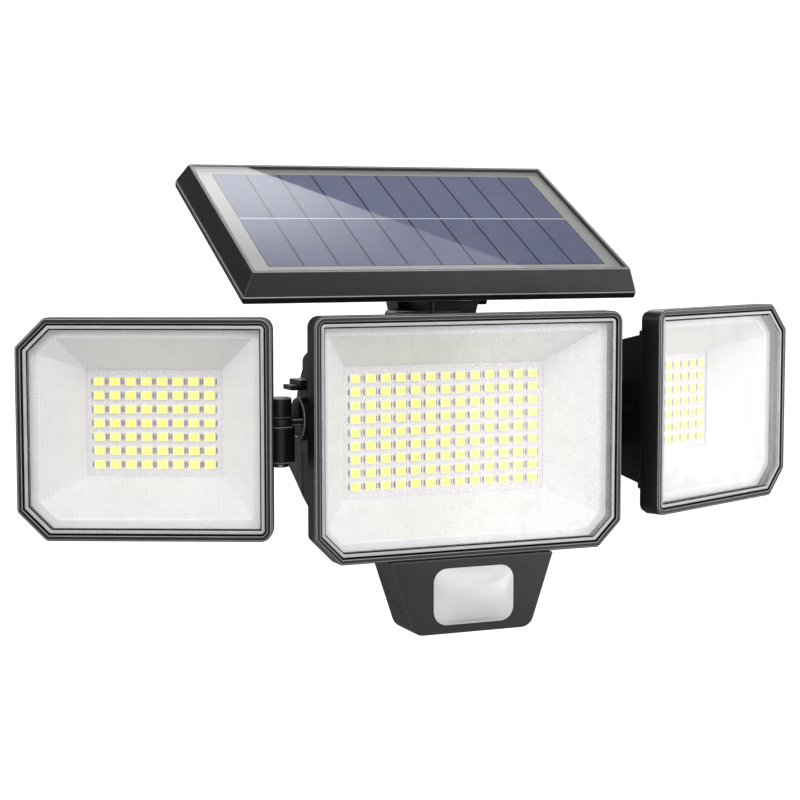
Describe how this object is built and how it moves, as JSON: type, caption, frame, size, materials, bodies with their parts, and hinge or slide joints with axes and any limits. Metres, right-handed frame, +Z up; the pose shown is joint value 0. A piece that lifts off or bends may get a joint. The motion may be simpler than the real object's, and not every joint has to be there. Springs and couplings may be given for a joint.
{
  "type": "solar flood light",
  "caption": "Wall-mounted solar flood light: a wide lamp head with a motion sensor, a lamp head swinging at each side and a tilting solar panel above.",
  "frame": {"origin": "centre of the wall plate's back face", "axes": "+X to the right as seen when facing the front of the light, +Y into the wall, +Z up; the lamps face -Y"},
  "size_m": [0.427, 0.165, 0.2329],
  "materials": {
    "black_plastic": "satin charcoal moulded ABS with lighter edges",
    "black_rubber": "matt silicone",
    "clear_lens": "clear polycarbonate with a fine prismatic texture on its inner face",
    "white_reflector": "satin white moulded reflector",
    "led_board": "white solder mask with rows of warm yellow LED packages",
    "circuit_board": "green solder mask",
    "steel": "zinc-plated",
    "solar_cells": "blue-violet polycrystalline silicon laminate with silver busbars",
    "panel_glass": "clear tempered glass",
    "battery_wrap": "blue shrink sleeve",
    "sensor_white": "white translucent polyethylene"
  },
  "bodies": {
    "bracket": {"wall_bracket": "black_plastic", "body_tilt_bolt": "steel", "body_tilt_knob": "black_plastic"},
    "main_body": {"main_housing": "black_plastic", "rear_cover": "black_plastic", "cover_screw_1": "steel", "cover_screw_2": "steel", "cover_screw_3": "steel", "cover_screw_4": "steel", "center_bezel": "black_plastic", "center_gasket": "black_rubber", "center_lens": "clear_lens", "center_reflector": "white_reflector", "center_led_board": "led_board", "battery_cell_1": "battery_wrap", "battery_cell_2": "battery_wrap", "controller_board": "circuit_board", "sensor_housing": "black_plastic", "sensor_lens": "sensor_white", "sensor_can": "steel", "sensor_board": "circuit_board", "button_switch": "black_rubber"},
    "mode_button": {"mode_button": "black_rubber"},
    "panel_turret": {"panel_turret": "black_plastic", "turret_screw": "steel"},
    "solar_panel": {"panel_tray": "black_plastic", "panel_glass": "panel_glass", "panel_cells": "solar_cells", "panel_base": "black_plastic", "panel_tilt_bolt": "steel", "panel_tilt_nut": "steel"},
    "left_arm": {"left_hinge_arm": "black_plastic", "left_arm_screw": "steel"},
    "left_head": {"left_housing": "black_plastic", "left_bezel": "black_plastic", "left_gasket": "black_rubber", "left_lens": "clear_lens", "left_reflector": "white_reflector", "left_led_board": "led_board", "left_hinge_pin": "steel"},
    "right_arm": {"right_hinge_arm": "black_plastic", "right_arm_screw": "steel"},
    "right_head": {"right_housing": "black_plastic", "right_bezel": "black_plastic", "right_gasket": "black_rubber", "right_lens": "clear_lens", "right_reflector": "white_reflector", "right_led_board": "led_board", "right_hinge_pin": "steel"}
  },
  "joints": [
    {"name": "body_tilt", "type": "hinge", "parent": "bracket", "child": "main_body", "pos_m": [0, -0.06, -0.01], "axis": [1, 0, 0], "range_deg": [-5, 40]},
    {"name": "panel_swivel", "type": "hinge", "parent": "main_body", "child": "panel_turret", "pos_m": [0, -0.105, 0.066], "axis": [0, 0, 1], "range_deg": [-30, 30]},
    {"name": "panel_tilt", "type": "hinge", "parent": "panel_turret", "child": "solar_panel", "pos_m": [0, -0.106, 0.086], "axis": [-1, 0, 0], "range_deg": [0, 40]},
    {"name": "mode_button_press", "type": "slide", "parent": "main_body", "child": "mode_button", "axis": [0, 0, 1], "range_m": [0, 0.0012], "stiffness_N_per_m": 1200, "springref_m": -0.0004},
    {"name": "left_arm_tilt", "type": "hinge", "parent": "main_body", "child": "left_arm", "pos_m": [-0.0773, -0.125, 0.018], "axis": [-1, 0, 0], "range_deg": [-25, 15]},
    {"name": "left_head_swing", "type": "hinge", "parent": "left_arm", "child": "left_head", "pos_m": [-0.088, -0.125, 0.0172], "axis": [0, 0, -1], "range_deg": [-24.5, 60]},
    {"name": "right_arm_tilt", "type": "hinge", "parent": "main_body", "child": "right_arm", "pos_m": [0.0773, -0.125, 0.018], "axis": [-1, 0, 0], "range_deg": [-25, 15]},
    {"name": "right_head_swing", "type": "hinge", "parent": "right_arm", "child": "right_head", "pos_m": [0.088, -0.125, 0.0172], "axis": [0, 0, 1], "range_deg": [-24.5, 60]}
  ]
}
